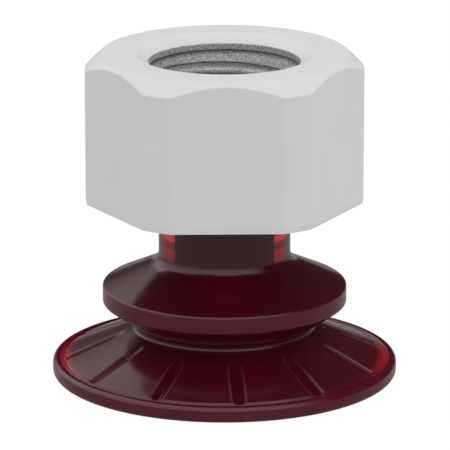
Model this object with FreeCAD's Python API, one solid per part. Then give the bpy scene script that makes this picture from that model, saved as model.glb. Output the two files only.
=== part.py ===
import FreeCAD, Part
import math
import os

# A bellows suction cup on a hexagonal fitting. Units are millimetres.
# Z = 0 is the flat face of the sealing rim, and the Z axis is the cup's axis of symmetry.

# Hexagonal fitting
HEX_BOTTOM = 19.84
HEX_TOP = 36.59
HEX_ACROSS_FLATS = 28.3
HEX_CORNER_RADIUS = 15.42
HEX_CHAMFER_TOP_RADIUS = 13.74
HEX_CHAMFER_HEIGHT = 1.59

COUNTERSINK_RADIUS = 9.67
COUNTERSINK_DEPTH = 0.93

# Metal insert moulded into the hexagon, under a lip of plastic
INSERT_TOP = 35.05
INSERT_TOP_RADIUS = 8.9
INSERT_RADIUS = 9.9
GRIP_GROOVE_RADIUS = 9.3
GRIP_GROOVE_BOTTOM = 29.0
GRIP_GROOVE_TOP = 31.6
GRIP_NOTCH_COUNT = 6
GRIP_NOTCH_RADIUS = 0.8
LIP_RADIUS = 8.36

# G 3/8 female thread in the insert, drawn as parallel rings with flattened crests
THREAD_MAJOR_RADIUS = 8.331
THREAD_CREST_RADIUS = 7.73
THREAD_PITCH = 1.337
THREAD_HALF_ANGLE = math.radians(27.5)
THREAD_RINGS = 5
FIRST_RING_HEIGHT = 26.9
LEAD_IN_RADIUS = 8.6
LEAD_IN_BOTTOM = 33.6

# Floor of the fitting, the seat above it, and the hole that holds the nipple
FLOOR_TOP = 23.0
SEAT_RADIUS = 7.1
SEAT_TOP = 25.6
FLOOR_HOLE_RADIUS = 5.45

# Hollow barbed nipple
NIPPLE_BODY_RADIUS = 5.4
NIPPLE_SHANK_RADIUS = 3.65
NIPPLE_BORE_RADIUS = 2.5
NIPPLE_TIP = 12.2
NIPPLE_TIP_RADIUS = 3.3
NIPPLE_TIP_CHAMFER = 0.35
BARB_RADIUS = 5.2
BARB_BOTTOM = 14.3
BARB_LOW_EDGE = 14.6
BARB_HIGH_EDGE = 14.95
BARB_TOP = 15.3
FLANGE_RADIUS = 6.9
FLANGE_TOP = 24.1
SEAL_GROOVE_RADIUS = 4.3
SEAL_GROOVE_BOTTOM = 20.8
SEAL_GROOVE_TOP = 22.1
SEAL_CORNER = 0.35

# Filter above the nipple's flange
FRAME_OUTER_RADIUS = 7.08
FRAME_INNER_RADIUS = 5.8
FRAME_TOP = 25.5
MESH_RADIUS = 6.4
MESH_BOTTOM = 24.7
MESH_THICKNESS = 0.3
MESH_HOLE_RADIUS = 0.38
MESH_HOLE_PITCH = 1.05
MESH_HOLE_RINGS = 5

# Outside of the elastomer cup
NECK_RADIUS = 7.34
NECK_CORNER = 13.05
NECK_FILLET = 1.8
BAND_RADIUS = 13.62
BAND_TOP = 10.2
BAND_BOTTOM = 8.35
BAND_EDGE = 0.3
WAIST_RADIUS = 9.64
WAIST_MIDDLE = 5.49
WAIST_FILLET = 0.45
SKIRT_END_RADIUS = 17.85
SKIRT_END = 1.9
CHANNEL_RADIUS = 18.12
CHANNEL_BOTTOM = 1.42
CHANNEL_FILLET = 0.12
RIM_RADIUS = 19.25
RIM_TOP = 1.8
RIM_INNER_TOP_RADIUS = 18.4
RIM_EDGE = 0.55
RIM_INNER_EDGE = 0.2

# Inside of the elastomer cup
SEAL_LAND_RADIUS = 17.9
SEAL_LAND_EDGE = 0.12
SKIRT_INNER_RADIUS = 17.4
SKIRT_INNER_BOTTOM = 1.05
THROAT_RADIUS = 8.1
THROAT_BOTTOM = 4.75
THROAT_TOP = 6.09
CAVITY_RADIUS = 12.07
CAVITY_BOTTOM = 8.71
CAVITY_TOP = 9.5
ROOF_RADIUS = 5.2
ROOF_HEIGHT = 12.65
INNER_FILLET = 0.5

# Twelve flutes on the outside of the skirt, each above a cleat on its inside
FLUTE_COUNT = 12
FLUTE_PHASE = 3.9
FLUTE_CUTTER_RADIUS = 1.1
FLUTE_END_DEPTH = 0.52
FLUTE_START_RADIUS = 11.1
FLUTE_END_RADIUS = 17.95
CLEAT_WIDTH = 1.6
CLEAT_HEIGHT = 0.45
CLEAT_START_RADIUS = 9.6
CLEAT_END_RADIUS = 16.6
CLEAT_ROOT = 0.4

# Heights at which the moulding is divided into the stretches that flex separately
NECK_BOTTOM = 13.9
LOWER_FOLD_BOTTOM = 6.0
WAIST_BOTTOM = 5.1
SKIRT_DIVISION = 3.9
RIM_DIVISION = 1.95

Z_AXIS = FreeCAD.Vector(0, 0, 1)
ORIGIN = FreeCAD.Vector(0, 0, 0)
FULL_TURN = 360


def point(radius, height):
    """A point of a profile in the XZ plane."""
    return FreeCAD.Vector(radius, 0, height)


def corner_edges(previous, corner, following, radius):
    """Where the fillet of one corner starts and ends, and the arc between, or the plain corner."""
    if radius == 0:
        return corner, corner, None
    back = (previous - corner).normalize()
    ahead = (following - corner).normalize()
    half_angle = back.getAngle(ahead) / 2
    reach = radius / math.tan(half_angle)
    start = corner + back * reach
    end = corner + ahead * reach
    to_centre = (back + ahead).normalize()
    middle = corner + to_centre * (radius / math.sin(half_angle) - radius)
    return start, end, Part.Arc(start, middle, end).toShape()


def profile_face(corners):
    """A flat face from (radius, height, fillet) corners, listed in order around it."""
    places = [point(r, z) for r, z, _ in corners]
    count = len(corners)
    pieces = []
    for i, (_, _, fillet) in enumerate(corners):
        pieces.append(corner_edges(places[i - 1], places[i], places[(i + 1) % count], fillet))
    edges = []
    for i, (_, end, arc) in enumerate(pieces):
        if arc:
            edges.append(arc)
        next_start = pieces[(i + 1) % count][0]
        if end.distanceToPoint(next_start) > Part.Precision.confusion():
            edges.append(Part.makeLine(end, next_start))
    return Part.Face(Part.Wire(Part.__sortEdges__(edges)))


def revolved(corners):
    """The solid swept by a profile turned about Z."""
    return profile_face(corners).revolve(ORIGIN, Z_AXIS, FULL_TURN)


def disc(radius, bottom, top):
    """A plain cylinder about Z."""
    return Part.makeCylinder(radius, top - bottom, point(0, bottom))


def ring_copies(shape, count, first_angle):
    """Copies of a shape spaced evenly about Z. The shape itself lies along +X."""
    copies = []
    for i in range(count):
        copy = shape.copy()
        copy.rotate(ORIGIN, Z_AXIS, first_angle + i * FULL_TURN / count)
        copies.append(copy)
    return copies


# ---- fitting ----

def hex_blank():
    """A hexagonal bar with turned corners, a chamfered top and one face towards -Y."""
    corner_distance = HEX_ACROSS_FLATS / math.sqrt(3)
    sides = 6
    corners = []
    for i in range(sides + 1):
        angle = 2 * math.pi * i / sides
        corners.append(FreeCAD.Vector(
            corner_distance * math.cos(angle), corner_distance * math.sin(angle), HEX_BOTTOM))
    bar = Part.Face(Part.makePolygon(corners)).extrude(Z_AXIS * (HEX_TOP - HEX_BOTTOM))
    envelope = revolved([
        (0, HEX_BOTTOM, 0),
        (HEX_CORNER_RADIUS, HEX_BOTTOM, 0),
        (HEX_CORNER_RADIUS, HEX_TOP - HEX_CHAMFER_HEIGHT, 0),
        (HEX_CHAMFER_TOP_RADIUS, HEX_TOP, 0),
        (0, HEX_TOP, 0),
    ])
    return bar.common(envelope)


def insert_blank():
    """The insert before its hole is made, with a ring groove and notches that lock it in the plastic."""
    shoulder = INSERT_TOP - (INSERT_RADIUS - INSERT_TOP_RADIUS)
    turned = revolved([
        (0, SEAT_TOP, 0),
        (INSERT_RADIUS, SEAT_TOP, 0),
        (INSERT_RADIUS, GRIP_GROOVE_BOTTOM, 0),
        (GRIP_GROOVE_RADIUS, GRIP_GROOVE_BOTTOM, 0),
        (GRIP_GROOVE_RADIUS, GRIP_GROOVE_TOP, 0),
        (INSERT_RADIUS, GRIP_GROOVE_TOP, 0),
        (INSERT_RADIUS, shoulder, 0),
        (INSERT_TOP_RADIUS, INSERT_TOP, 0),
        (0, INSERT_TOP, 0),
    ])
    notch = Part.makeCylinder(GRIP_NOTCH_RADIUS, INSERT_TOP - SEAT_TOP, point(INSERT_RADIUS, SEAT_TOP))
    return turned.cut(ring_copies(notch, GRIP_NOTCH_COUNT, 0))


def thread_rings():
    """Corners of the V grooves in the wall, from the top one down."""
    half_mouth = (THREAD_MAJOR_RADIUS - THREAD_CREST_RADIUS) * math.tan(THREAD_HALF_ANGLE)
    corners = []
    for i in reversed(range(THREAD_RINGS)):
        centre = FIRST_RING_HEIGHT + i * THREAD_PITCH
        corners.append((THREAD_CREST_RADIUS, centre + half_mouth, 0))
        corners.append((THREAD_MAJOR_RADIUS, centre, 0))
        corners.append((THREAD_CREST_RADIUS, centre - half_mouth, 0))
    return corners


def threaded_insert():
    hole = revolved([
        (0, INSERT_TOP, 0),
        (LEAD_IN_RADIUS, INSERT_TOP, 0),
        (THREAD_CREST_RADIUS, LEAD_IN_BOTTOM, 0),
        *thread_rings(),
        (THREAD_CREST_RADIUS, SEAT_TOP, 0),
        (0, SEAT_TOP, 0),
    ])
    return insert_blank().cut(hole)


def hex_fitting_body():
    """The hexagon around the insert, with a seat and a floor under it and a countersink above it."""
    seat = disc(SEAT_RADIUS, FLOOR_TOP, SEAT_TOP)
    floor_hole = disc(FLOOR_HOLE_RADIUS, HEX_BOTTOM, FLOOR_TOP)
    mouth = revolved([
        (0, INSERT_TOP, 0),
        (LIP_RADIUS, INSERT_TOP, 0),
        (LIP_RADIUS, HEX_TOP - COUNTERSINK_DEPTH, 0),
        (COUNTERSINK_RADIUS, HEX_TOP, 0),
        (0, HEX_TOP, 0),
    ])
    return hex_blank().cut([insert_blank(), seat, floor_hole, mouth])


def barb_outline():
    """The nipple's outside where the cup's neck grips it, from the lower end up to the fitting."""
    return [
        (NIPPLE_SHANK_RADIUS, BARB_BOTTOM, 0),
        (BARB_RADIUS, BARB_LOW_EDGE, 0),
        (BARB_RADIUS, BARB_HIGH_EDGE, 0),
        (NIPPLE_SHANK_RADIUS, BARB_TOP, 0),
        (NIPPLE_SHANK_RADIUS, HEX_BOTTOM, 0),
    ]


def barbed_nipple():
    tip = [
        (NIPPLE_BORE_RADIUS, NIPPLE_TIP, 0),
        (NIPPLE_TIP_RADIUS, NIPPLE_TIP, 0),
        (NIPPLE_SHANK_RADIUS, NIPPLE_TIP + NIPPLE_TIP_CHAMFER, 0),
    ]
    body_and_flange = [
        (NIPPLE_BODY_RADIUS, HEX_BOTTOM, 0),
        (NIPPLE_BODY_RADIUS, SEAL_GROOVE_BOTTOM, 0),
        (SEAL_GROOVE_RADIUS, SEAL_GROOVE_BOTTOM, 0),
        (SEAL_GROOVE_RADIUS, SEAL_GROOVE_TOP, 0),
        (NIPPLE_BODY_RADIUS, SEAL_GROOVE_TOP, 0),
        (NIPPLE_BODY_RADIUS, FLOOR_TOP, 0),
        (FLANGE_RADIUS, FLOOR_TOP, 0),
        (FLANGE_RADIUS, FLANGE_TOP, 0),
        (NIPPLE_BORE_RADIUS, FLANGE_TOP, 0),
    ]
    return revolved(tip + barb_outline() + body_and_flange)


def nipple_seal_ring():
    """A ring squeezed between the groove's floor and the wall of the fitting's hole."""
    return revolved([
        (SEAL_GROOVE_RADIUS, SEAL_GROOVE_BOTTOM, SEAL_CORNER),
        (FLOOR_HOLE_RADIUS, SEAL_GROOVE_BOTTOM, SEAL_CORNER),
        (FLOOR_HOLE_RADIUS, SEAL_GROOVE_TOP, SEAL_CORNER),
        (SEAL_GROOVE_RADIUS, SEAL_GROOVE_TOP, SEAL_CORNER),
    ])


def filter_frame_ring():
    """A ring with a groove that holds the mesh by its edge."""
    mesh_top = MESH_BOTTOM + MESH_THICKNESS
    return revolved([
        (FRAME_INNER_RADIUS, FLANGE_TOP, 0),
        (FRAME_OUTER_RADIUS, FLANGE_TOP, 0),
        (FRAME_OUTER_RADIUS, FRAME_TOP, 0),
        (FRAME_INNER_RADIUS, FRAME_TOP, 0),
        (FRAME_INNER_RADIUS, mesh_top, 0),
        (MESH_RADIUS, mesh_top, 0),
        (MESH_RADIUS, MESH_BOTTOM, 0),
        (FRAME_INNER_RADIUS, MESH_BOTTOM, 0),
    ])


def hole_centres():
    """Centres of a triangular grid of holes inside a hexagon."""
    row_step = MESH_HOLE_PITCH * math.sqrt(3) / 2
    centres = []
    for row in range(-MESH_HOLE_RINGS, MESH_HOLE_RINGS + 1):
        in_row = 2 * MESH_HOLE_RINGS + 1 - abs(row)
        for i in range(in_row):
            x = (i - (in_row - 1) / 2) * MESH_HOLE_PITCH
            centres.append((x, row * row_step))
    return centres


def filter_mesh_disc():
    top = MESH_BOTTOM + MESH_THICKNESS
    holes = []
    for x, y in hole_centres():
        if math.hypot(x, y) + MESH_HOLE_RADIUS < FRAME_INNER_RADIUS:
            start = FreeCAD.Vector(x, y, MESH_BOTTOM)
            holes.append(Part.makeCylinder(MESH_HOLE_RADIUS, MESH_THICKNESS, start))
    return disc(MESH_RADIUS, MESH_BOTTOM, top).cut(holes)


# ---- elastomer cup ----

def skirt_slope(inner_radius, inner_height, outer_radius, outer_height):
    """Angle in degrees that a cone drops outwards from the horizontal."""
    return math.degrees(math.atan2(inner_height - outer_height, outer_radius - inner_radius))


def height_on_line(radius, inner_radius, inner_height, outer_radius, outer_height):
    share = (radius - inner_radius) / (outer_radius - inner_radius)
    return inner_height + share * (outer_height - inner_height)


OUTER_CONE = (WAIST_RADIUS, WAIST_MIDDLE, SKIRT_END_RADIUS, SKIRT_END)
INNER_CONE = (THROAT_RADIUS, THROAT_BOTTOM, SKIRT_INNER_RADIUS, SKIRT_INNER_BOTTOM)


def plain_cup():
    """The whole moulding without flutes or cleats."""
    outside = [
        (NECK_RADIUS, HEX_BOTTOM, 0),
        (NECK_RADIUS, NECK_CORNER, NECK_FILLET),
        (BAND_RADIUS, BAND_TOP, BAND_EDGE),
        (BAND_RADIUS, BAND_BOTTOM, BAND_EDGE),
        (WAIST_RADIUS, WAIST_MIDDLE, WAIST_FILLET),
        (SKIRT_END_RADIUS, SKIRT_END, CHANNEL_FILLET),
        (CHANNEL_RADIUS, CHANNEL_BOTTOM, CHANNEL_FILLET),
        (RIM_INNER_TOP_RADIUS, RIM_TOP, RIM_INNER_EDGE),
        (RIM_RADIUS, RIM_TOP, RIM_EDGE),
        (RIM_RADIUS, 0, RIM_EDGE),
    ]
    inside = [
        (SEAL_LAND_RADIUS, 0, SEAL_LAND_EDGE),
        (SKIRT_INNER_RADIUS, SKIRT_INNER_BOTTOM, INNER_FILLET),
        (THROAT_RADIUS, THROAT_BOTTOM, INNER_FILLET),
        (THROAT_RADIUS, THROAT_TOP, INNER_FILLET),
        (CAVITY_RADIUS, CAVITY_BOTTOM, INNER_FILLET),
        (CAVITY_RADIUS, CAVITY_TOP, INNER_FILLET),
        (ROOF_RADIUS, ROOF_HEIGHT, INNER_FILLET),
        (NIPPLE_SHANK_RADIUS, ROOF_HEIGHT, 0),
    ]
    return revolved(outside + inside + barb_outline())


def flute_cutter():
    """A round bar that enters the outer cone at a slant, so that the flute deepens outwards."""
    down = math.radians(skirt_slope(*OUTER_CONE))
    outward = FreeCAD.Vector(math.sin(down), 0, math.cos(down))
    start = point(FLUTE_START_RADIUS, height_on_line(FLUTE_START_RADIUS, *OUTER_CONE))
    end = point(FLUTE_END_RADIUS, height_on_line(FLUTE_END_RADIUS, *OUTER_CONE))
    start += outward * FLUTE_CUTTER_RADIUS
    end += outward * (FLUTE_CUTTER_RADIUS - FLUTE_END_DEPTH)
    along = end - start
    return Part.makeCylinder(FLUTE_CUTTER_RADIUS, along.Length, start, along)


def cleat():
    """A straight rib lying along the inner cone, rooted in it."""
    length = CLEAT_END_RADIUS - CLEAT_START_RADIUS
    tilt = skirt_slope(*INNER_CONE)
    rib = Part.makeBox(
        length / math.cos(math.radians(tilt)),
        CLEAT_WIDTH,
        CLEAT_HEIGHT + CLEAT_ROOT,
        FreeCAD.Vector(0, -CLEAT_WIDTH / 2, -CLEAT_HEIGHT))
    rib.rotate(ORIGIN, FreeCAD.Vector(0, 1, 0), tilt)
    rib.translate(point(CLEAT_START_RADIUS, height_on_line(CLEAT_START_RADIUS, *INNER_CONE)))
    return rib


def cup_moulding():
    with_cleats = plain_cup().fuse(ring_copies(cleat(), FLUTE_COUNT, FLUTE_PHASE - 90))
    return with_cleats.cut(ring_copies(flute_cutter(), FLUTE_COUNT, FLUTE_PHASE - 90))


def stretch(moulding, bottom, top):
    """The part of the moulding between two heights."""
    return moulding.common(disc(RIM_RADIUS + 1, bottom, top)).removeSplitter()


def cup_stretches():
    moulding = cup_moulding()
    return {
        "cup_neck_sleeve": stretch(moulding, NECK_BOTTOM, HEX_BOTTOM),
        "cup_upper_fold": stretch(moulding, BAND_TOP, NECK_BOTTOM),
        "cup_equator_band": stretch(moulding, BAND_BOTTOM, BAND_TOP),
        "cup_lower_fold": stretch(moulding, LOWER_FOLD_BOTTOM, BAND_BOTTOM),
        "cup_waist_ring": stretch(moulding, WAIST_BOTTOM, LOWER_FOLD_BOTTOM),
        "cup_inner_skirt": stretch(moulding, SKIRT_DIVISION, WAIST_BOTTOM),
        "cup_outer_skirt": stretch(moulding, RIM_DIVISION, SKIRT_DIVISION),
        "cup_sealing_rim": stretch(moulding, 0, RIM_DIVISION),
    }


def all_nodes():
    nodes = {
        "hex_fitting_body": hex_fitting_body(),
        "threaded_insert": threaded_insert(),
        "barbed_nipple": barbed_nipple(),
        "nipple_seal_ring": nipple_seal_ring(),
        "filter_frame_ring": filter_frame_ring(),
        "filter_mesh_disc": filter_mesh_disc(),
    }
    nodes.update(cup_stretches())
    return nodes


os.makedirs("parts", exist_ok=True)
for name, shape in all_nodes().items():
    solids = shape.Solids
    if len(solids) != 1 or not solids[0].isValid():
        raise ValueError(f"{name}: {len(solids)} solids")
    solids[0].exportStep(f"parts/{name}.step")
    print(name, round(solids[0].Volume, 1), "mm3")
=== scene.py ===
import math

import bmesh
import bpy
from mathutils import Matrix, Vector

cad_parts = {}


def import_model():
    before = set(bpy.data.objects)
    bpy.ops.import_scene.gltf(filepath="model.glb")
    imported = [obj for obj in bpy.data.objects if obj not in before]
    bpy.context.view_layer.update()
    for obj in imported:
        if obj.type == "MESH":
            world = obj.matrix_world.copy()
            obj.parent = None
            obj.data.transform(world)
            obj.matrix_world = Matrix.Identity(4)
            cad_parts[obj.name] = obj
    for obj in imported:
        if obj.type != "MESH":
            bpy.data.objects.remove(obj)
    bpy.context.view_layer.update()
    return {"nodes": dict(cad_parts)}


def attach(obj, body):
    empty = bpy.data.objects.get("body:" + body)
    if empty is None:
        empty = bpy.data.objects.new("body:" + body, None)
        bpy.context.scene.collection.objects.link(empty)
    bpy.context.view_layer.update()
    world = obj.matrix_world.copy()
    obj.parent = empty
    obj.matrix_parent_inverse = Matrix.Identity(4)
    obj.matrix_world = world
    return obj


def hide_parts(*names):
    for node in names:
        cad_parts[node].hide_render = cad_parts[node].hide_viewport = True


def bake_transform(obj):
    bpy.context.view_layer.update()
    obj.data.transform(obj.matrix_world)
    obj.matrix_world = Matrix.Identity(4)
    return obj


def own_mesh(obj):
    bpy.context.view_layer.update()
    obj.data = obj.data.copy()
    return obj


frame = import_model()

MM = 0.001

# Shape of the fitting, in millimetres.
HEX_BOTTOM = 19.84
HEX_TOP = 36.59
HEX_HALF_FLATS = 14.15
UNDERSIDE_RADIUS = 13.95
HEX_CORNER_RADIUS = 15.42
HEX_CHAMFER_TOP_RADIUS = 13.74
HEX_CHAMFER_HEIGHT = 1.59
HEX_EDGE = 0.06
HEX_BOTTOM_EDGE = 0.15
COUNTERSINK_RADIUS = 9.67
COUNTERSINK_DEPTH = 0.93
COUNTERSINK_FILLET = 0.9
FLOOR_TOP = 23.0
SEAT_RADIUS = 7.1
SEAT_TOP = 25.6
FLOOR_HOLE_RADIUS = 5.45

# Threaded metal insert, under a lip of plastic. THREAD_FLANK is where a flank starts and ends, in
# halves of a pitch from the middle of a crest.
LIP_RADIUS = 8.36
INSERT_RADIUS = 9.9
INSERT_TOP = 35.05
INSERT_TOP_RADIUS = 8.9
INSERT_SHOULDER = INSERT_TOP - (INSERT_RADIUS - INSERT_TOP_RADIUS)
THREAD_MAJOR = 8.331
THREAD_CREST = 7.6
THREAD_PITCH = 1.337
THREAD_BOTTOM = 26.4
THREAD_RUN_IN = 0.3
THREAD_FLANK = (0.2, 0.9)
LEAD_IN_RADIUS = 8.6
LEAD_IN_BOTTOM = 33.2

# Shape of the nipple.
NIPPLE_BORE = 2.5
NIPPLE_SHANK = 3.65
NIPPLE_TIP = 12.2
NIPPLE_TIP_BEVEL = 0.35
NIPPLE_BODY = 5.4
SEAL_GROOVE_RADIUS = 4.3
SEAL_GROOVE_BOTTOM = 20.8
SEAL_GROOVE_TOP = 22.1
FLANGE_RADIUS = 6.9
FLANGE_TOP = 24.1

# Woven mesh of the filter.
FILTER_RADIUS = 6.35
FILTER_HEIGHT = 24.85
WIRE_PITCH = 0.55
WIRE_RADIUS = 0.11
WIRE_WAVE = 0.95 * WIRE_RADIUS
WIRE_SIDES = 6
WIRE_STEPS_PER_PITCH = 4

# Heights at which the moulded cup is divided.
NECK_BOTTOM = 13.9
BAND_TOP = 10.2
BAND_BOTTOM = 8.35
LOWER_FOLD_BOTTOM = 6.0
WAIST_BOTTOM = 5.1
SKIRT_DIVISION = 3.9
RIM_DIVISION = 1.95

# Flutes on the outside of the skirt, and the cleats under them. A flute is cut by a cylinder, and
# its depth grows over FLUTE_RUN_IN as the power FLUTE_RISE of the distance. CLEAT_EDGE is where a
# cleat's side starts and ends, as shares of its half width.
FLUTE_COUNT = 12
FLUTE_PHASE = math.radians(3.9 - 90)
FLUTE_START = 11.1
FLUTE_END = 17.95
FLUTE_RUN_IN = 2.2
FLUTE_CUTTER = 0.95
FLUTE_DEPTH = 0.42
FLUTE_EDGE = 0.12
FLUTE_RISE = 0.8
FLUTE_RUN_OUT = 0.2
RIB_SPACING = 2 * math.pi / FLUTE_COUNT
RIB_REACH = math.radians(6)
CLEAT_START = 10.2
CLEAT_END = 16.4
CLEAT_HALF_WIDTH = 0.85
CLEAT_HEIGHT = 0.45
CLEAT_EDGE = (0.6, 1.0)

# The skirt's wall: its slope, and a point midway through it.
SKIRT_TILT = math.radians(23.6)
SKIRT_FALL = 0.43
SKIRT_MIDDLE = (9.0, 5.0)

# Profile of the whole moulding, as (radius, height, fillet) corners.
OUTSIDE = [
    (7.34, HEX_BOTTOM, 0.15),
    (7.34, 13.05, 1.8),
    (13.62, BAND_TOP, 0.3),
    (13.62, BAND_BOTTOM, 0.3),
    (9.64, 5.49, 0.45),
    (17.85, 1.9, 0.12),
    (18.12, 1.42, 0.12),
    (18.4, 1.8, 0.2),
    (19.25, 1.8, 0.55),
    (19.25, 0, 0.55),
]
INSIDE = [
    (17.9, 0, 0.12),
    (17.4, 1.05, 0.5),
    (8.1, 4.75, 0.5),
    (8.1, 6.09, 0.5),
    (12.07, 8.71, 0.5),
    (12.07, 9.5, 0.5),
    (5.2, 12.65, 0.5),
    (NIPPLE_SHANK, 12.65, 0),
]
NECK_HOLE = [
    (NIPPLE_SHANK, 14.3, 0.1),
    (5.2, 14.6, 0.1),
    (5.2, 14.95, 0.1),
    (NIPPLE_SHANK, 15.3, 0.1),
    (NIPPLE_SHANK, HEX_BOTTOM, 0),
]

# How finely surfaces are divided, in millimetres between points or in points round the axis. The
# hexagon's rows are fine over the height HEX_CROWN at its top.
ARC_STEP = math.radians(4)
HEX_ROW = 0.5
HEX_CROWN = 3.2
FINE_ROW = 0.07
FITTING_STEP = 0.8
INSERT_STEP = 0.5
NIPPLE_STEP = 1.0
CUP_STEP = 0.2
HEX_SEGMENTS = 720
ROUND_SEGMENTS = 360
NIPPLE_SEGMENTS = 128
LEAD_IN_STEP = 0.05
RIB_STEPS = 72
STEPS_BETWEEN_RIBS = 20

# Creases sharper than these angles, in degrees, stay crisp.
HEX_CREASE = 40
INSERT_CREASE = 50
NIPPLE_CREASE = 35
CUP_CREASE = 80

# Heights this close are the same. A Vector holds single precision, so equal ones may differ a little.
SAME_HEIGHT = 1e-4

# Attribute of the cup's meshes that holds where each vertex stands at rest.
REST_PLACE = "rest_place"


# ---- geometry helpers ----

def corner_points(before, corner, after, radius):
    """Points along the fillet of one corner of a profile."""
    corner = Vector(corner)
    if radius == 0:
        return [corner]
    back = (Vector(before) - corner).normalized()
    ahead = (Vector(after) - corner).normalized()
    half = back.angle(ahead) / 2
    centre = corner + (back + ahead).normalized() * (radius / math.sin(half))
    start = corner + back * (radius / math.tan(half))
    end = corner + ahead * (radius / math.tan(half))
    sweep = math.pi - 2 * half
    steps = max(2, math.ceil(sweep / ARC_STEP))
    a, b = start - centre, end - centre
    points = []
    for i in range(steps + 1):
        t = i / steps
        arm = (a * math.sin((1 - t) * sweep) + b * math.sin(t * sweep)) / math.sin(sweep)
        points.append(centre + arm)
    return points


def rounded_path(corners, step, closed):
    """A line through rounded (radius, height, fillet) corners, with no stretch longer than step."""
    count = len(corners)
    points = []
    for i, (r, z, fillet) in enumerate(corners):
        if not closed and i in (0, count - 1):
            points.append(Vector((r, z)))
            continue
        following = corners[(i + 1) % count]
        points += corner_points(corners[i - 1][:2], (r, z), following[:2], fillet)
    if closed:
        points.append(points[0])
    fine = [points[0]]
    for a, b in zip(points, points[1:]):
        pieces = max(1, math.ceil((b - a).length / step))
        fine += [a.lerp(b, (k + 1) / pieces) for k in range(pieces)]
    return fine[:-1] if closed else fine


def even_angles(count):
    return [2 * math.pi * k / count for k in range(count)]


def new_object(name, mesh):
    mesh.polygons.foreach_set("use_smooth", [True] * len(mesh.polygons))
    mesh.update()
    obj = bpy.data.objects.new(name, mesh)
    bpy.context.scene.collection.objects.link(obj)
    return obj


def lathe(name, loop, angles, shape=None):
    """A closed profile turned about the axis. shape(r, z, angle) may move a point."""
    segments = len(angles)
    rows = len(loop)
    vertices, faces = [], []
    for p in loop:
        for angle in angles:
            r, z = shape(p[0], p[1], angle) if shape else p
            vertices.append((r * MM * math.cos(angle), r * MM * math.sin(angle), z * MM))
    for i in range(rows):
        low, high = i * segments, (i + 1) % rows * segments
        for k in range(segments):
            n = (k + 1) % segments
            faces.append((low + k, high + k, high + n, low + n))
    mesh = bpy.data.meshes.new(name)
    mesh.from_pydata(vertices, [], faces)
    bm = bmesh.new()
    bm.from_mesh(mesh)
    bmesh.ops.recalc_face_normals(bm, faces=bm.faces)
    bm.to_mesh(mesh)
    bm.free()
    return new_object(name, mesh)


def sharpen(obj, degrees, rows=(), segments=1):
    """Keeps edges sharper than an angle crisp under smooth shading, and those along some rows."""
    obj.data.set_sharp_from_angle(angle=math.radians(degrees))
    if rows:
        for edge in obj.data.edges:
            first, second = (v // segments for v in edge.vertices)
            if first == second and first in rows:
                edge.use_edge_sharp = True


def smoothstep(low, high, x):
    t = min(1.0, max(0.0, (x - low) / (high - low)))
    return t * t * (3 - 2 * t)


def keep_rest_place(obj):
    """Stores where each vertex stands at rest, so that a material follows the piece as it moves."""
    places = obj.data.attributes.new(REST_PLACE, "FLOAT_VECTOR", "POINT")
    flat = [value for vertex in obj.data.vertices for value in vertex.co]
    places.data.foreach_set("vector", flat)


# ---- materials ----

NOISE_MIDDLE = (0.3, 0.7)


class Nodes:
    """A short way to build a node tree."""

    def __init__(self, tree):
        self.tree = tree

    def add(self, kind, **settings):
        node = self.tree.nodes.new(kind)
        for key, value in settings.items():
            setattr(node, key, value)
        return node

    def feed(self, source, target):
        """Sets an input to a number or a colour, or links a socket to it."""
        if isinstance(source, (int, float)):
            target.default_value = source
        elif isinstance(source, tuple):
            target.default_value = (*source, 1)
        else:
            self.tree.links.new(source, target)

    def math(self, operation, first, second=0.0):
        node = self.add("ShaderNodeMath", operation=operation)
        self.feed(first, node.inputs[0])
        self.feed(second, node.inputs[1])
        return node.outputs["Value"]

    def times(self, first, *others):
        for other in others:
            first = self.math("MULTIPLY", first, other)
        return first

    def dot(self, vector, direction):
        """Dot product of a vector socket with a fixed direction or another socket."""
        node = self.add("ShaderNodeVectorMath", operation="DOT_PRODUCT")
        self.feed(vector, node.inputs[0])
        if isinstance(direction, tuple):
            node.inputs[1].default_value = direction
        else:
            self.feed(direction, node.inputs[1])
        return node.outputs["Value"]

    def map_range(self, value, limits, results, kind):
        node = self.add("ShaderNodeMapRange", interpolation_type=kind)
        node.inputs["From Min"].default_value, node.inputs["From Max"].default_value = limits
        node.inputs["To Min"].default_value, node.inputs["To Max"].default_value = results
        self.feed(value, node.inputs["Value"])
        return node.outputs["Result"]

    def ramp(self, value, low, high, at_low=0.0, at_high=1.0):
        """A smooth step as a value passes from low to high."""
        return self.map_range(value, (low, high), (at_low, at_high), "SMOOTHSTEP")

    def ramp_mm(self, value, low, high, at_low=0.0, at_high=1.0):
        """A smooth step over a length, with its limits in millimetres."""
        return self.ramp(value, low * MM, high * MM, at_low, at_high)

    def mix(self, factor, first, second):
        """Mixes two colours, each a tuple or a socket."""
        node = self.add("ShaderNodeMix", data_type="RGBA")
        self.feed(first, node.inputs["A"])
        self.feed(second, node.inputs["B"])
        self.feed(factor, node.inputs["Factor"])
        return node.outputs["Result"]

    def choose(self, ray, usual, special):
        """One value for a kind of ray and another for the rest."""
        node = self.add("ShaderNodeMix")
        self.feed(self.add("ShaderNodeLightPath").outputs[ray], node.inputs["Factor"])
        self.feed(usual, node.inputs["A"])
        self.feed(special, node.inputs["B"])
        return node.outputs["Result"]

    def split(self, vector):
        node = self.add("ShaderNodeSeparateXYZ")
        self.feed(vector, node.inputs[0])
        return node.outputs

    def geometry(self, name):
        return self.add("ShaderNodeNewGeometry").outputs[name]


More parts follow.
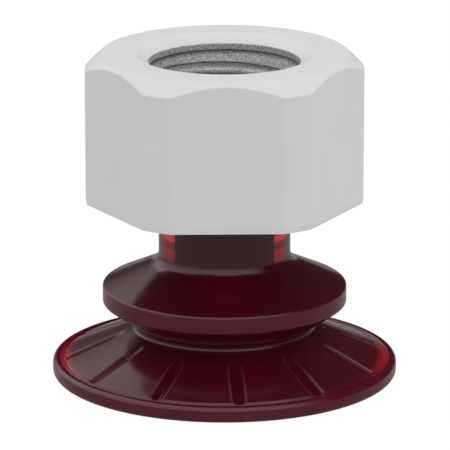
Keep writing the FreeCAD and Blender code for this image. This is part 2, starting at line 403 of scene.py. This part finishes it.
class Surface(Nodes):
    """A material made of one Principled shader with a noisy colour, roughness and relief."""

    def __init__(self, name):
        self.material = bpy.data.materials.new(name)
        self.material.use_nodes = True
        super().__init__(self.material.node_tree)
        self.shader = self.tree.nodes["Principled BSDF"]
        self.position = self.add("ShaderNodeTexCoord").outputs["Object"]

    def follow_rest_place(self):
        self.position = self.add("ShaderNodeAttribute", attribute_name=REST_PLACE).outputs["Vector"]

    def noise(self, scale, detail=3.0, roughness=0.5):
        node = self.add("ShaderNodeTexNoise")
        node.inputs["Scale"].default_value = scale
        node.inputs["Detail"].default_value = detail
        node.inputs["Roughness"].default_value = roughness
        self.feed(self.position, node.inputs["Vector"])
        return node.outputs["Fac"]

    def spread(self, source, low=0.0, high=1.0):
        """Maps the middle of a noise onto low..high."""
        return self.map_range(source, NOISE_MIDDLE, (low, high), "LINEAR")

    def set(self, **inputs):
        """Feeds the shader's inputs, named with _ in place of spaces."""
        for name, source in inputs.items():
            self.feed(source, self.shader.inputs[name.replace("_", " ")])

    def relief(self, height, strength, distance_mm):
        node = self.add("ShaderNodeBump")
        node.inputs["Strength"].default_value = strength
        node.inputs["Distance"].default_value = distance_mm * MM
        self.feed(height, node.inputs["Height"])
        self.set(Normal=node.outputs["Normal"])

    def outward(self):
        """The horizontal vector from the axis to the point."""
        node = self.add("ShaderNodeVectorMath", operation="MULTIPLY")
        node.inputs[1].default_value = (1, 1, 0)
        self.feed(self.position, node.inputs[0])
        return node.outputs["Vector"]

    def radius(self):
        node = self.add("ShaderNodeVectorMath", operation="LENGTH")
        self.feed(self.outward(), node.inputs[0])
        return node.outputs["Value"]

    def height(self):
        return self.split(self.position)["Z"]

    def facing(self):
        """1 where a wall round the axis faces the viewer, 0 at its outline."""
        node = self.add("ShaderNodeVectorMath", operation="NORMALIZE")
        self.feed(self.outward(), node.inputs[0])
        return self.math("ABSOLUTE", self.dot(node.outputs["Vector"], self.geometry("Incoming")))


# The fitting's materials. Pairs are radii or heights in millimetres between which a tone changes.
# MOUTH_RADIUS bounds the painted shade in the hexagon's mouth, and the hexagon's colour in
# reflections is painted dark.
GRAIN = (5200, 3, 0.7)
MOUTH_RADIUS = (8.5, 8.4)
PLASTIC_IN_REFLECTIONS = (0.05, 0.05, 0.05)
# Heights of the painted shade under the plastic's lip and of the painted light lower in the insert.
INSERT_TOP_SHADE = (34.35, 34.9)
INSERT_LIT_BELOW = (33.3, 33.0)


def grey(level):
    return (level, level, level)


def grey_plastic():
    """The hexagon, with grain-textured painted shade in its mouth like the insert's, and painted dark
    in reflections.
    """
    s = Surface("grey_plastic")
    smooth = s.mix(s.spread(s.noise(180, 4)), (0.585, 0.585, 0.59), (0.60, 0.60, 0.605))
    # Painted shade in the mouth: darker than the rest of the hexagon, with a coarse grain.
    grainy_shade = s.mix(s.spread(s.noise(*GRAIN)), grey(0.09), grey(0.50))
    colour = s.mix(s.ramp_mm(s.radius(), *MOUTH_RADIUS), smooth, grainy_shade)
    # Reflections see the plastic painted dark.
    reflection = s.add("ShaderNodeLightPath").outputs["Is Glossy Ray"]
    s.set(Base_Color=s.mix(reflection, colour, PLASTIC_IN_REFLECTIONS), IOR=1.46)
    s.set(Roughness=s.spread(s.noise(900, 4), 0.42, 0.52))
    s.relief(s.noise(4500, 4), 0.10, 0.03)
    return s.material


def grainy_metal():
    """The dull, slightly rough threaded insert, with painted shade under the plastic's lip and
    painted light lower down.
    """
    s = Surface("grainy_metal")
    tone = s.spread(s.noise(*GRAIN))
    height = s.height()
    upper = s.mix(tone, grey(0.08), grey(0.58))
    lower = s.mix(tone, grey(0.12), grey(0.80))
    shade = s.add("ShaderNodeVectorMath", operation="SCALE")
    # Painted light lower down, and painted shade under the plastic's lip.
    s.feed(s.mix(s.ramp_mm(height, *INSERT_LIT_BELOW), upper, lower), shade.inputs[0])
    s.feed(s.ramp_mm(height, *INSERT_TOP_SHADE, 1.0, 0.32), shade.inputs["Scale"])
    s.set(Base_Color=shade.outputs["Vector"], Metallic=0.2)
    s.set(Roughness=s.spread(s.noise(2500, 4), 0.5, 0.65))
    s.relief(s.noise(6000, 4), 0.6, 0.06)
    return s.material


# Painted highlights along the flutes' edges: the distance from an edge over which they fade, and
# their share of the colour from the inner end to the outer.
FLUTE_LINE = (0.22, 0.02)
FLUTE_HIGHLIGHT_COLOUR = (0.135, 0.052, 0.062)
FLUTE_LINE_SHARE = (12.0, 17.5, 0.10, 0.45)
FLUTE_LINE_STARTS = (11.2, 12.6)
FLUTE_LINE_ENDS = (17.9, 17.6)
FLUTE_WALL = (0.0, 0.2)
BELOW_FOLDS = (6.5, 5.5)
FLUTE_SHINE_LOST = 0.38

# Light coming through the skirt's thin edge, between these radii and above this height.
EDGE_GLOW = 0.20
EDGE_GLOW_COLOUR = (0.85, 0.022, 0.04)
EDGE_GLOW_STARTS = (16.9, 17.9)
EDGE_GLOW_ENDS = (18.6, 18.2)
EDGE_GLOW_BOTTOM = (1.2, 1.5)

# Light coming through the neck, and the barb's shadow in it, by height.
NECK_GLOW = 0.38
NECK_GLOW_COLOUR = (0.95, 0.045, 0.05)
NECK_GLOW_TOP = 16.8
BARB_SHADOW_BOTTOM = (15.05, 15.5)
BARB_SHADOW_TOP = (16.45, 16.1)
BARB_SHADOW = 0.72
CORE_FOOT_TOP = 15.2

# Colours of the cup, each pair mixed by a noise. The second red is the first made lighter, painted
# light on the band, the lower fold and the rim.
DARK_RED = (0.042, 0.0007, 0.0055), (0.050, 0.0010, 0.0075)
PAINTED_LIGHTER_RED = (0.062, 0.0008, 0.0075), (0.070, 0.0012, 0.0095)
CORE_BROWN = (0.030, 0.0060, 0.0065), (0.036, 0.0075, 0.0080)
CORE_FOOT = (0.045, 0.0012, 0.0066)


def flute_masks(s, radius, height):
    """One value for the painted highlights along the edges of every flute, stronger outwards, and one
    that is 1 inside it.
    """
    xyz = s.split(s.position)
    angle = s.math("ARCTAN2", xyz["Y"], xyz["X"])
    turned = s.math("ADD", angle, 4 * math.pi - FLUTE_PHASE + RIB_SPACING / 2)
    off = s.math("SUBTRACT", s.math("MODULO", turned, RIB_SPACING), RIB_SPACING / 2)
    along = s.times(radius, s.math("COSINE", off))
    across = s.math("ABSOLUTE", s.times(radius, s.math("SINE", off)))
    beyond_start = s.math("MAXIMUM", s.math("SUBTRACT", along, FLUTE_START * MM), 0.0)
    run_in = s.math("MINIMUM", s.math("DIVIDE", beyond_start, FLUTE_RUN_IN * MM), 1.0)
    depth = s.times(s.math("POWER", run_in, FLUTE_RISE), FLUTE_DEPTH * MM)
    chord = s.times(depth, s.math("SUBTRACT", 2 * FLUTE_CUTTER * MM, depth))
    half_width = s.math("SQRT", chord)
    inward = s.math("SUBTRACT", half_width, across)
    # Painted highlight along each edge of the flute.
    line = s.ramp_mm(s.math("ABSOLUTE", inward), *FLUTE_LINE)
    fading_line = s.times(line, s.ramp_mm(along, *FLUTE_LINE_SHARE))
    inside = s.ramp_mm(inward, *FLUTE_WALL)
    within_ends = s.times(s.ramp_mm(along, *FLUTE_LINE_STARTS), s.ramp_mm(along, *FLUTE_LINE_ENDS))
    below_folds = s.ramp_mm(height, *BELOW_FOLDS)
    on_top = s.ramp(s.split(s.geometry("Normal"))["Z"], 0.2, 0.5)
    on_flutes = s.times(within_ends, below_folds, on_top)
    return s.times(fading_line, on_flutes), s.times(inside, on_flutes)


def dark_red_elastomer(name, colours):
    """The heavy-walled, nearly opaque body of the cup, with painted highlights along the flutes'
    edges. Its thin outer edge glows when seen from the side.
    """
    s = Surface(name)
    s.follow_rest_place()
    radius, height = s.radius(), s.height()
    flute_highlights, insides = flute_masks(s, radius, height)
    body = s.mix(s.spread(s.noise(120)), *colours)
    # Painted highlights along the flutes' edges, mixed into the body colour.
    s.set(Base_Color=s.mix(flute_highlights, body, FLUTE_HIGHLIGHT_COLOUR), IOR=1.5)
    s.set(Specular_IOR_Level=s.math("SUBTRACT", 0.5, s.times(insides, FLUTE_SHINE_LOST)))
    s.set(Roughness=s.spread(s.noise(700, 4), 0.14, 0.22))
    s.relief(s.noise(2200), 0.08, 0.02)
    thin = s.times(s.ramp_mm(radius, *EDGE_GLOW_STARTS), s.ramp_mm(radius, *EDGE_GLOW_ENDS))
    above_land = s.ramp_mm(height, *EDGE_GLOW_BOTTOM)
    low_view = s.ramp(s.split(s.geometry("Incoming"))["Z"], 0.8, 0.4, 0.3, 1.0)
    at_outline = s.ramp(s.facing(), 0.55, 0.05)
    s.set(Emission_Strength=s.times(thin, above_land, at_outline, low_view, EDGE_GLOW))
    s.set(Emission_Color=EDGE_GLOW_COLOUR)
    return s.material


def clear_red_elastomer():
    """The neck: a dark core, and light coming through the wall on both sides of it."""
    s = Surface("clear_red_elastomer")
    s.follow_rest_place()
    height, facing = s.height(), s.facing()
    core = s.mix(s.spread(s.noise(120)), *CORE_BROWN)
    foot = s.ramp_mm(height, CORE_FOOT_TOP, NECK_BOTTOM)
    s.set(Base_Color=s.mix(foot, core, CORE_FOOT), IOR=1.5)
    s.set(Roughness=s.spread(s.noise(700, 4), 0.12, 0.18))
    s.relief(s.noise(2200), 0.08, 0.02)
    beside_core = s.ramp(facing, 0.645, 0.615)
    off_outline = s.ramp(facing, 0.2, 0.5, 0.10, 1.0)
    up_the_neck = s.ramp_mm(height, NECK_BOTTOM, NECK_GLOW_TOP, 0.25, 1.0)
    barb = s.times(s.ramp_mm(height, *BARB_SHADOW_BOTTOM), s.ramp_mm(height, *BARB_SHADOW_TOP))
    past_barb = s.math("SUBTRACT", 1.0, s.times(barb, BARB_SHADOW))
    s.set(Emission_Strength=s.times(beside_core, off_outline, past_barb, up_the_neck, NECK_GLOW))
    s.set(Emission_Color=NECK_GLOW_COLOUR)
    return s.material


def mottled(name, tone_scale, colours, gloss_scale, roughness):
    """A plain material with a slightly uneven colour and roughness."""
    s = Surface(name)
    s.set(Base_Color=s.mix(s.spread(s.noise(tone_scale)), *colours))
    s.set(Roughness=s.spread(s.noise(gloss_scale), *roughness))
    return s


def dark_metal():
    colours = (0.055, 0.045, 0.045), (0.08, 0.065, 0.06)
    s = mottled("dark_metal", 300, colours, 1500, (0.45, 0.6))
    s.relief(s.noise(3000), 0.1, 0.02)
    s.set(Metallic=0.3)
    return s.material


def black_rubber():
    return mottled("black_rubber", 300, (grey(0.012), grey(0.022)), 1500, (0.5, 0.65)).material


def black_plastic():
    colours = (0.03, 0.03, 0.032), (0.045, 0.045, 0.047)
    return mottled("black_plastic", 300, colours, 1500, (0.35, 0.5)).material


def steel_wire():
    colours = (0.50, 0.50, 0.48), (0.66, 0.66, 0.63)
    s = mottled("steel_wire", 900, colours, 2500, (0.22, 0.38))
    s.set(Metallic=1.0)
    return s.material


def dress(obj, material):
    obj.data.materials.clear()
    obj.data.materials.append(material)


# ---- fitting ----

def on_fitting(obj, node, material):
    """Makes a mesh the look of one node of the fitting."""
    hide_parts(node)
    dress(obj, material)
    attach(obj, "fitting")


def soft_min(a, b, width=HEX_EDGE):
    """The smaller of two values, with the corner between them rounded."""
    gap = max(width - abs(a - b), 0) / width
    return min(a, b) - gap * gap * width / 4


def hex_radius(z, angle):
    """How far the outside of the hexagon stands from the axis at a height and angle."""
    sixth = math.pi / 3
    from_face = (angle + math.pi / 2 + sixth / 2) % sixth - sixth / 2
    flat = HEX_HALF_FLATS / math.cos(from_face)
    below_top = HEX_TOP - z
    slope = (HEX_CORNER_RADIUS - HEX_CHAMFER_TOP_RADIUS) / HEX_CHAMFER_HEIGHT
    cone = HEX_CHAMFER_TOP_RADIUS + below_top * slope
    return soft_min(soft_min(flat, HEX_CORNER_RADIUS), cone)


def steps(start, end, step):
    count = max(1, math.ceil(abs(end - start) / step))
    return [start + (end - start) * i / count for i in range(count + 1)]


def hex_body():
    """The hexagon. Points of its side have radius 0 in the profile, and shape() gives their own."""
    crown = HEX_TOP - HEX_CROWN
    heights = steps(HEX_BOTTOM, crown, HEX_ROW)[:-1] + steps(crown, HEX_TOP, FINE_ROW)
    hex_side = [(0, z) for z in heights]
    inside = rounded_path([
        (HEX_CHAMFER_TOP_RADIUS, HEX_TOP, 0),
        (COUNTERSINK_RADIUS, HEX_TOP, COUNTERSINK_FILLET),
        (LIP_RADIUS, HEX_TOP - COUNTERSINK_DEPTH, 0.04),
        (LIP_RADIUS, INSERT_TOP, 0),
        (INSERT_TOP_RADIUS, INSERT_TOP, 0),
        (INSERT_RADIUS, INSERT_SHOULDER, 0),
        (INSERT_RADIUS, SEAT_TOP, 0),
        (SEAT_RADIUS, SEAT_TOP, 0.05),
        (SEAT_RADIUS, FLOOR_TOP, 0.05),
        (FLOOR_HOLE_RADIUS, FLOOR_TOP, 0.1),
        (FLOOR_HOLE_RADIUS, HEX_BOTTOM, 0),
    ], FITTING_STEP, False)
    radii = steps(FLOOR_HOLE_RADIUS, UNDERSIDE_RADIUS, FITTING_STEP)
    underside = [(r, HEX_BOTTOM) for r in radii]

    def shape(r, z, angle):
        if r > 0:
            return r, z
        bottom_edge = HEX_EDGE * smoothstep(HEX_BOTTOM + HEX_BOTTOM_EDGE, HEX_BOTTOM, z)
        return hex_radius(z, angle) - bottom_edge, z

    loop = hex_side + inside[1:] + underside[1:]
    obj = lathe("hex_body", loop, even_angles(HEX_SEGMENTS), shape)
    sharpen(obj, HEX_CREASE)
    on_fitting(obj, "hex_fitting_body", grey_plastic())


def thread_depth(z, angle):
    """Depth of the thread's rounded groove below its crests, from 0 to 1."""
    turn = ((z - THREAD_BOTTOM) / THREAD_PITCH - angle / (2 * math.pi)) % 1
    across = abs(2 * turn - 1)
    start = smoothstep(THREAD_BOTTOM - THREAD_RUN_IN, THREAD_BOTTOM + THREAD_RUN_IN, z)
    return smoothstep(*THREAD_FLANK, across) * start


def threaded_insert():
    top, bottom = Vector((LEAD_IN_RADIUS, INSERT_TOP)), Vector((THREAD_CREST, LEAD_IN_BOTTOM))
    lead_in = [top.lerp(bottom, t) for t in steps(0, 1, LEAD_IN_STEP)]
    thread = [(THREAD_CREST, z) for z in steps(LEAD_IN_BOTTOM, SEAT_TOP, FINE_ROW)]
    outside = rounded_path([
        (THREAD_CREST, SEAT_TOP, 0),
        (INSERT_RADIUS, SEAT_TOP, 0.05),
        (INSERT_RADIUS, INSERT_SHOULDER, 0.05),
        (INSERT_TOP_RADIUS, INSERT_TOP, 0.05),
        (LEAD_IN_RADIUS, INSERT_TOP, 0),
    ], INSERT_STEP, False)

    def shape(r, z, angle):
        if r > LEAD_IN_RADIUS:
            return r, z
        groove = (THREAD_MAJOR - THREAD_CREST) * thread_depth(z, angle)
        return max(r, THREAD_CREST + groove), z

    loop = lead_in + thread[1:] + outside[1:-1]
    obj = lathe("insert", loop, even_angles(ROUND_SEGMENTS), shape)
    sharpen(obj, INSERT_CREASE)
    on_fitting(obj, "threaded_insert", grainy_metal())


def nipple():
    path = rounded_path([
        (NIPPLE_BORE, NIPPLE_TIP, 0.1),
        (NIPPLE_SHANK - NIPPLE_TIP_BEVEL, NIPPLE_TIP, 0.05),
        (NIPPLE_SHANK, NIPPLE_TIP + NIPPLE_TIP_BEVEL, 0.05),
        *NECK_HOLE,
        (NIPPLE_BODY, HEX_BOTTOM, 0),
        (NIPPLE_BODY, SEAL_GROOVE_BOTTOM, 0.05),
        (SEAL_GROOVE_RADIUS, SEAL_GROOVE_BOTTOM, 0.05),
        (SEAL_GROOVE_RADIUS, SEAL_GROOVE_TOP, 0.05),
        (NIPPLE_BODY, SEAL_GROOVE_TOP, 0.05),
        (NIPPLE_BODY, FLOOR_TOP, 0),
        (FLANGE_RADIUS, FLOOR_TOP, 0),
        (FLANGE_RADIUS, FLANGE_TOP, 0.2),
        (NIPPLE_BORE, FLANGE_TOP, 0.2),
    ], NIPPLE_STEP, True)
    obj = lathe("nipple", path, even_angles(NIPPLE_SEGMENTS))
    sharpen(obj, NIPPLE_CREASE)
    on_fitting(obj, "barbed_nipple", dark_metal())


def wire_rings(bm, offset, up_first, across):
    """Rings of vertices along one wire of the mesh, which waves over and under those it crosses."""
    half = math.sqrt(FILTER_RADIUS ** 2 - offset ** 2)
    count = max(4, int(2 * half / WIRE_PITCH * WIRE_STEPS_PER_PITCH))
    rings = []
    for k in range(count + 1):
        s = -half + 2 * half * k / count
        wave = math.cos(math.pi * s / WIRE_PITCH) * (1 if up_first else -1)
        centre = Vector((s, offset, FILTER_HEIGHT + wave * WIRE_WAVE))
        ring = []
        for j in range(WIRE_SIDES):
            a = 2 * math.pi * j / WIRE_SIDES
            p = centre + Vector((0, math.cos(a), math.sin(a))) * WIRE_RADIUS
            if across:
                p = Vector((p.y, p.x, p.z))
            ring.append(bm.verts.new(p * MM))
        rings.append(ring)
    return rings


def woven_mesh():
    """Crossing wires in place of the CAD's plate with holes."""
    bm = bmesh.new()
    count = int(FILTER_RADIUS / WIRE_PITCH)
    for across in (False, True):
        for i in range(-count, count + 1):
            rings = wire_rings(bm, i * WIRE_PITCH, (i % 2 == 0) != across, across)
            for a, b in zip(rings, rings[1:]):
                for j in range(WIRE_SIDES):
                    m = (j + 1) % WIRE_SIDES
                    bm.faces.new((a[j], a[m], b[m], b[j]))
            bm.faces.new(rings[0])
            bm.faces.new(rings[-1])
    bmesh.ops.recalc_face_normals(bm, faces=bm.faces)
    mesh = bpy.data.meshes.new("filter_mesh")
    bm.to_mesh(mesh)
    bm.free()
    obj = new_object("filter_mesh", mesh)
    on_fitting(obj, "filter_mesh_disc", steel_wire())


# ---- cup ----

def rib_angles():
    """Angles round the skirt, closely spaced across each flute and coarser between flutes."""
    sector = [-RIB_REACH + 2 * RIB_REACH * k / RIB_STEPS for k in range(RIB_STEPS)]
    gap = RIB_SPACING - 2 * RIB_REACH
    sector += [RIB_REACH + gap * k / STEPS_BETWEEN_RIBS for k in range(STEPS_BETWEEN_RIBS)]
    return [FLUTE_PHASE + i * RIB_SPACING + a for i in range(FLUTE_COUNT) for a in sector]


def rib_place(r, angle):
    """Distance along and across the straight centre line of the nearest flute or cleat."""
    off = (angle - FLUTE_PHASE + RIB_SPACING / 2) % RIB_SPACING - RIB_SPACING / 2
    return r * math.cos(off), r * abs(math.sin(off))


def flute_sink(r, angle):
    """Depth of the round-bottomed flute, which runs in from nothing at its inner end."""
    along, across = rib_place(r, angle)
    if across >= FLUTE_CUTTER or along <= FLUTE_START:
        return 0
    run_in = min(1, max(0, (along - FLUTE_START) / FLUTE_RUN_IN))
    run_out = smoothstep(FLUTE_END, FLUTE_END - FLUTE_RUN_OUT, along)
    depth = FLUTE_DEPTH * run_in ** FLUTE_RISE * run_out
    sink = math.sqrt(FLUTE_CUTTER ** 2 - across ** 2) - (FLUTE_CUTTER - depth)
    return -soft_min(-sink, 0, FLUTE_EDGE) if depth > 0 else 0


def cleat_drop(r, angle):
    """Height of the round-ended cleat that stands out under each flute."""
    along, across = rib_place(r, angle)
    beyond = max(CLEAT_START - along, 0, along - CLEAT_END)
    distance = math.hypot(beyond, across)
    return CLEAT_HEIGHT * (1 - smoothstep(*CLEAT_EDGE, distance / CLEAT_HALF_WIDTH))


def skirt_shape(r, z, angle):
    """Moves skirt points in for the flutes, or down for the cleats."""
    move = flute_sink(r, angle) if z > skirt_middle(r) else cleat_drop(r, angle)
    return r - move * math.sin(SKIRT_TILT), z - move * math.cos(SKIRT_TILT)


def skirt_middle(r):
    """Height midway through the skirt's wall, which tells its outside from its inside."""
    radius, height = SKIRT_MIDDLE
    return height - SKIRT_FALL * (r - radius)


def form_ribs(obj):
    """Sinks the flutes into a plain stretch of skirt and puts the cleats under it."""
    for vertex in obj.data.vertices:
        x, y, z = vertex.co / MM
        angle = math.atan2(y, x)
        r, z = skirt_shape(math.hypot(x, y), z, angle)
        vertex.co = Vector((r * math.cos(angle), r * math.sin(angle), z)) * MM
    obj.data.update()


def cut_path(path, bottom, top):
    """The stretches of a closed profile between two heights, joined into one loop."""
    count = len(path)
    kept = []
    for i in range(count):
        a, b = path[i], path[(i + 1) % count]
        if bottom <= a[1] <= top:
            kept.append(a)
        crossings = []
        for level in (bottom, top):
            if (a[1] - level) * (b[1] - level) < 0:
                t = (level - a[1]) / (b[1] - a[1])
                crossings.append((t, Vector((a[0] + t * (b[0] - a[0]), level))))
        kept += [p for _, p in sorted(crossings, key=lambda c: c[0])]
    return kept


def cup_piece(name, bottom, top, material, ribbed=False):
    """A stretch of the moulding between two heights, in place of the CAD node of the same name."""
    path = rounded_path(OUTSIDE + INSIDE + NECK_HOLE, CUP_STEP, True)
    loop = cut_path(path, bottom, top)
    angles = rib_angles() if ribbed else even_angles(ROUND_SEGMENTS)
    obj = lathe(name, loop, angles)
    to_cut = [min(abs(p[1] - bottom), abs(p[1] - top)) for p in loop]
    cut_rows = {i for i, gap in enumerate(to_cut) if gap < SAME_HEIGHT}
    sharpen(obj, CUP_CREASE, cut_rows, len(angles))
    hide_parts("cup_" + name)
    dress(obj, material)
    return obj


def fold(name, body, bottom, top, material):
    """A stretch that moves with one body, on a mesh of its own."""
    obj = cup_piece(name, bottom, top, material)
    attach(obj, body)
    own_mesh(obj)
    return obj


def ring(name, body, bottom, top, material):
    """A stretch that keeps its shape and moves with one body."""
    obj = cup_piece(name, bottom, top, material)
    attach(obj, body)
    return obj


def bending_skirt(name, bottom, top, material):
    """A stretch of skirt on no body, its transform baked in, with its flutes and cleats formed.
    """
    obj = cup_piece(name, bottom, top, material, True)
    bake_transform(obj)
    form_ribs(obj)
    return obj


def rim(name, bottom, top, material):
    """The rigid edge of the lip, with the outer ends of the flutes."""
    obj = cup_piece(name, bottom, top, material, True)
    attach(obj, "lip")
    form_ribs(obj)
    return obj


def cup():
    dark = dark_red_elastomer("dark_red_elastomer", DARK_RED)
    # A lighter copy of the red: painted light on the band, lower fold and rim.
    painted_lighter = dark_red_elastomer("painted_lighter_red_elastomer", PAINTED_LIGHTER_RED)
    pieces = [
        ring("neck_sleeve", "fitting", NECK_BOTTOM, HEX_BOTTOM, clear_red_elastomer()),
        fold("upper_fold", "fitting", BAND_TOP, NECK_BOTTOM, dark),
        ring("equator_band", "equator", BAND_BOTTOM, BAND_TOP, painted_lighter),
        fold("lower_fold", "equator", LOWER_FOLD_BOTTOM, BAND_BOTTOM, painted_lighter),
        ring("waist_ring", "waist", WAIST_BOTTOM, LOWER_FOLD_BOTTOM, dark),
        bending_skirt("inner_skirt", SKIRT_DIVISION, WAIST_BOTTOM, dark),
        bending_skirt("outer_skirt", RIM_DIVISION, SKIRT_DIVISION, dark),
        rim("sealing_rim", 0, RIM_DIVISION, painted_lighter),
    ]
    for piece in pieces:
        keep_rest_place(piece)


# ---- stage ----

# The camera that took the photograph. Distances are in millimetres, clipping in metres.
CAMERA_AZIMUTH = math.radians(-1.27)
CAMERA_DISTANCE = 464.9
CAMERA_HEIGHT = 148.4
AIM_HEIGHT = 16.93
SENSOR = 36
LENS = 347.08
SHIFT = 0.001
CLIP = (0.01, 10)

# The floor's light to the camera, to reflections, and to everything else.
FLOOR_HALF = 3000
FLOOR_HEIGHT = -0.02
FLOOR_SEEN = 0.97
FLOOR_REFLECTED = 0.30
FLOOR_BOUNCE = 0.61

# A soft lamp, in metres and watts.
FILL_PLACE = (0.5, -0.8, 0.9)
FILL_SIZE = 0.6
FILL_POWER = 2.0


def camera():
    data = bpy.data.cameras.new("camera")
    data.sensor_width = SENSOR
    data.lens = LENS
    data.shift_x = SHIFT
    data.clip_start, data.clip_end = CLIP
    obj = bpy.data.objects.new("camera", data)
    bpy.context.scene.collection.objects.link(obj)
    place = Vector((
        math.sin(CAMERA_AZIMUTH) * CAMERA_DISTANCE,
        -math.cos(CAMERA_AZIMUTH) * CAMERA_DISTANCE,
        CAMERA_HEIGHT)) * MM
    obj.location = place
    aim = Vector((0, 0, AIM_HEIGHT)) * MM
    obj.rotation_euler = (aim - place).to_track_quat("-Z", "Y").to_euler()
    bpy.context.scene.camera = obj


def floor():
    """A pale sweep: white to the camera, dimmer in reflections and as a light, clear from below."""
    half = FLOOR_HALF * MM
    corners = [(-half, -half, 0), (half, -half, 0), (half, half, 0), (-half, half, 0)]
    mesh = bpy.data.meshes.new("floor")
    mesh.from_pydata(corners, [], [(0, 1, 2, 3)])
    obj = bpy.data.objects.new("floor", mesh)
    bpy.context.scene.collection.objects.link(obj)
    obj.location.z = FLOOR_HEIGHT * MM
    s = Surface("floor")
    s.set(Base_Color=s.mix(s.spread(s.noise(2, 2)), grey(0.03), grey(0.05)), Roughness=0.9)
    unseen = s.choose("Is Glossy Ray", FLOOR_BOUNCE, FLOOR_REFLECTED)
    s.set(Emission_Color=grey(1), Emission_Strength=s.choose("Is Camera Ray", unseen, FLOOR_SEEN))
    s.set(Specular_IOR_Level=0.0)
    one_sided = s.add("ShaderNodeMixShader")
    s.feed(s.geometry("Backfacing"), one_sided.inputs["Fac"])
    s.feed(s.shader.outputs["BSDF"], one_sided.inputs[1])
    s.feed(s.add("ShaderNodeBsdfTransparent").outputs["BSDF"], one_sided.inputs[2])
    s.feed(one_sided.outputs["Shader"], s.tree.nodes["Material Output"].inputs["Surface"])
    dress(obj, s.material)


def world():
    """Soft light from all round. Reflections see it fade to dark at the back right.

    The last two numbers of each ramp are levels of light away from and towards its direction.
    """
    w = bpy.data.worlds.new("studio")
    bpy.context.scene.world = w
    w.use_nodes = True
    n = Nodes(w.node_tree)
    direction = n.add("ShaderNodeTexCoord").outputs["Generated"]
    back_right = n.dot(direction, (0.75, 0.66, 0.0))
    right = n.dot(direction, (1.0, 0.0, 0.0))
    front = n.dot(direction, (0.0, -1.0, 0.0))
    up = n.dot(direction, (0.0, 0.0, 1.0))
    reflected = n.times(n.ramp(back_right, 0.0, 0.6, 1.38, 0.03), n.ramp(up, 0.0, 0.5, 0.55, 1.0))
    from_sides = n.ramp(front, -0.2, 0.9, 1.53, 0.99)
    from_right = n.ramp(right, -0.9, 0.9, 1.0, 1.10)
    overhead = n.ramp(up, 0.1, 0.9, 1.0, 0.79)
    lighting = n.times(from_sides, from_right, overhead)
    background = n.tree.nodes["Background"]
    n.feed(grey(1), background.inputs["Color"])
    n.feed(n.choose("Is Glossy Ray", lighting, reflected), background.inputs["Strength"])


def fill_light():
    data = bpy.data.lights.new("fill", "AREA")
    data.shape = "SQUARE"
    data.size = FILL_SIZE
    data.energy = FILL_POWER
    obj = bpy.data.objects.new("fill", data)
    bpy.context.scene.collection.objects.link(obj)
    obj.location = FILL_PLACE
    obj.rotation_euler = (-Vector(FILL_PLACE)).to_track_quat("-Z", "Y").to_euler()
    obj.visible_glossy = False


def stage():
    camera()
    floor()
    world()
    fill_light()
    view = bpy.context.scene.view_settings
    view.view_transform = "Standard"
    view.look = "None"


# ---- everything ----

hex_body()
threaded_insert()
nipple()
woven_mesh()
dress(frame["nodes"]["nipple_seal_ring"], black_rubber())
dress(frame["nodes"]["filter_frame_ring"], black_plastic())
cup()
stage()
